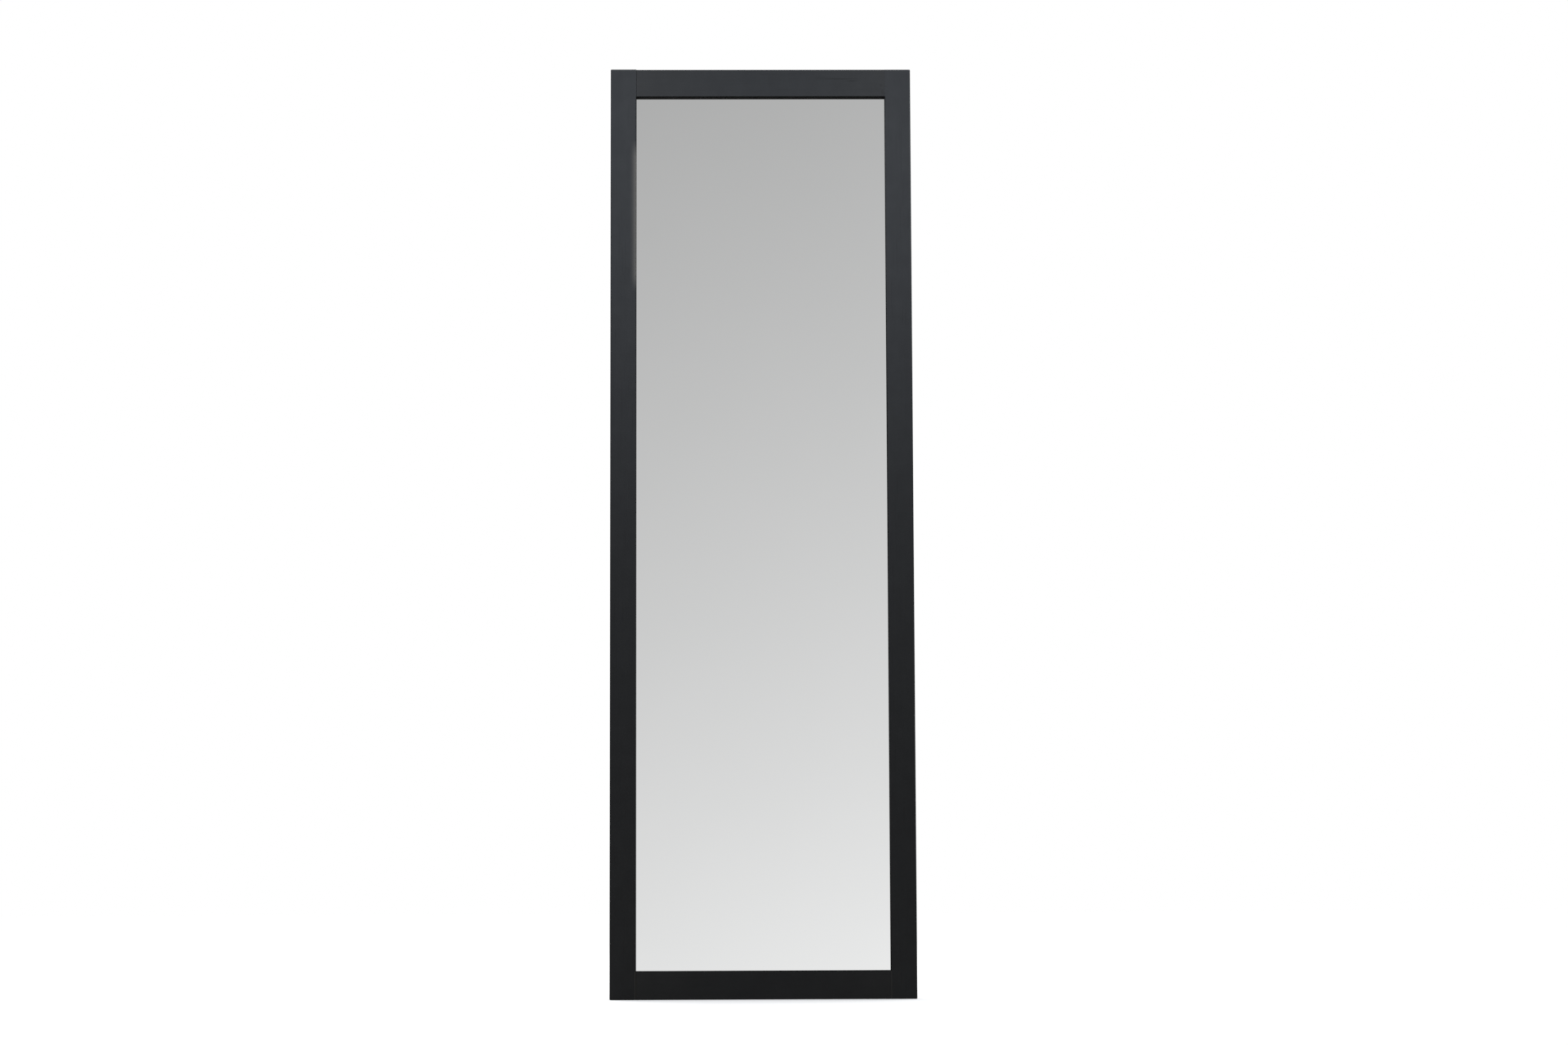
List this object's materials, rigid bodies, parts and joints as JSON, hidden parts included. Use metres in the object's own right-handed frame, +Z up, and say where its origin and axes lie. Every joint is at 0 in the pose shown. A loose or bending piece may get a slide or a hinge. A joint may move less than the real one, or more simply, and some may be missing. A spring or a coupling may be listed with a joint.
{
  "type": "wall mirror",
  "caption": "Tall wall mirror: slim black-painted wooden frame, set-back silvered pane, hardboard back held by turn buttons, swinging hanger rings and rubber wall bumpers.",
  "frame": {"origin": "centre of the frame's underside, half-way between its front and back faces", "axes": "+Z up along the stiles, the mirror faces -Y, and +Y points at the wall, whose plane is y = 0.0185 m"},
  "size_m": [0.552, 0.029, 1.7],
  "materials": {
    "black_paint": "satin black paint on fine-grained wood",
    "silvered_glass": "polished, flat, no bevel",
    "hardboard": "bare hardboard, screen side out",
    "kraft_card": "plain kraft card",
    "zinc_steel": "bright zinc plate",
    "black_rubber": "matt moulded rubber",
    "packer_plastic": "plain grey plastic",
    "beech": "bare beech"
  },
  "bodies": {
    "frame": {"left_stile": "black_paint", "right_stile": "black_paint", "top_rail": "black_paint", "bottom_rail": "black_paint", "corner_dowels": "beech", "mirror_glass": "silvered_glass", "setting_blocks": "packer_plastic", "side_shims": "packer_plastic", "top_shims": "packer_plastic", "card_liner": "kraft_card", "back_panel": "hardboard", "button_screws": "zinc_steel", "hanger_screws": "zinc_steel", "bumper_screws": "zinc_steel", "wall_bumpers": "black_rubber", "left_hanger_strap": "zinc_steel", "right_hanger_strap": "zinc_steel"},
    "turn_button_left_1": {"turn_button_left_1": "zinc_steel"},
    "turn_button_left_2": {"turn_button_left_2": "zinc_steel"},
    "turn_button_left_3": {"turn_button_left_3": "zinc_steel"},
    "turn_button_left_4": {"turn_button_left_4": "zinc_steel"},
    "turn_button_right_1": {"turn_button_right_1": "zinc_steel"},
    "turn_button_right_2": {"turn_button_right_2": "zinc_steel"},
    "turn_button_right_3": {"turn_button_right_3": "zinc_steel"},
    "turn_button_right_4": {"turn_button_right_4": "zinc_steel"},
    "turn_button_bottom": {"turn_button_bottom": "zinc_steel"},
    "turn_button_top": {"turn_button_top": "zinc_steel"},
    "left_ring": {"left_hanger_ring": "zinc_steel"},
    "right_ring": {"right_hanger_ring": "zinc_steel"}
  },
  "joints": [
    {"name": "turn_button_left_1_turn", "type": "hinge", "parent": "frame", "child": "turn_button_left_1", "pos_m": [-0.253, 0.0107, 0.136], "axis": [0, 1, 0], "continuous": true},
    {"name": "turn_button_left_2_turn", "type": "hinge", "parent": "frame", "child": "turn_button_left_2", "pos_m": [-0.253, 0.0107, 0.57483], "axis": [0, 1, 0], "continuous": true},
    {"name": "turn_button_left_3_turn", "type": "hinge", "parent": "frame", "child": "turn_button_left_3", "pos_m": [-0.253, 0.0107, 1.01367], "axis": [0, 1, 0], "continuous": true},
    {"name": "turn_button_left_4_turn", "type": "hinge", "parent": "frame", "child": "turn_button_left_4", "pos_m": [-0.253, 0.0107, 1.4525], "axis": [0, 1, 0], "continuous": true},
    {"name": "turn_button_right_1_turn", "type": "hinge", "parent": "frame", "child": "turn_button_right_1", "pos_m": [0.253, 0.0107, 0.136], "axis": [0, 1, 0], "continuous": true},
    {"name": "turn_button_right_2_turn", "type": "hinge", "parent": "frame", "child": "turn_button_right_2", "pos_m": [0.253, 0.0107, 0.57483], "axis": [0, 1, 0], "continuous": true},
    {"name": "turn_button_right_3_turn", "type": "hinge", "parent": "frame", "child": "turn_button_right_3", "pos_m": [0.253, 0.0107, 1.01367], "axis": [0, 1, 0], "continuous": true},
    {"name": "turn_button_right_4_turn", "type": "hinge", "parent": "frame", "child": "turn_button_right_4", "pos_m": [0.253, 0.0107, 1.4525], "axis": [0, 1, 0], "continuous": true},
    {"name": "turn_button_bottom_turn", "type": "hinge", "parent": "frame", "child": "turn_button_bottom", "pos_m": [0, 0.0107, 0.0265], "axis": [0, 1, 0], "continuous": true},
    {"name": "turn_button_top_turn", "type": "hinge", "parent": "frame", "child": "turn_button_top", "pos_m": [0, 0.0107, 1.6728], "axis": [0, 1, 0], "continuous": true},
    {"name": "left_ring_swing", "type": "hinge", "parent": "frame", "child": "left_ring", "pos_m": [-0.2585, 0.0131, 1.58], "axis": [1, 0, 0], "range_deg": [0, 175]},
    {"name": "right_ring_swing", "type": "hinge", "parent": "frame", "child": "right_ring", "pos_m": [0.2585, 0.0131, 1.58], "axis": [1, 0, 0], "range_deg": [0, 175]}
  ]
}
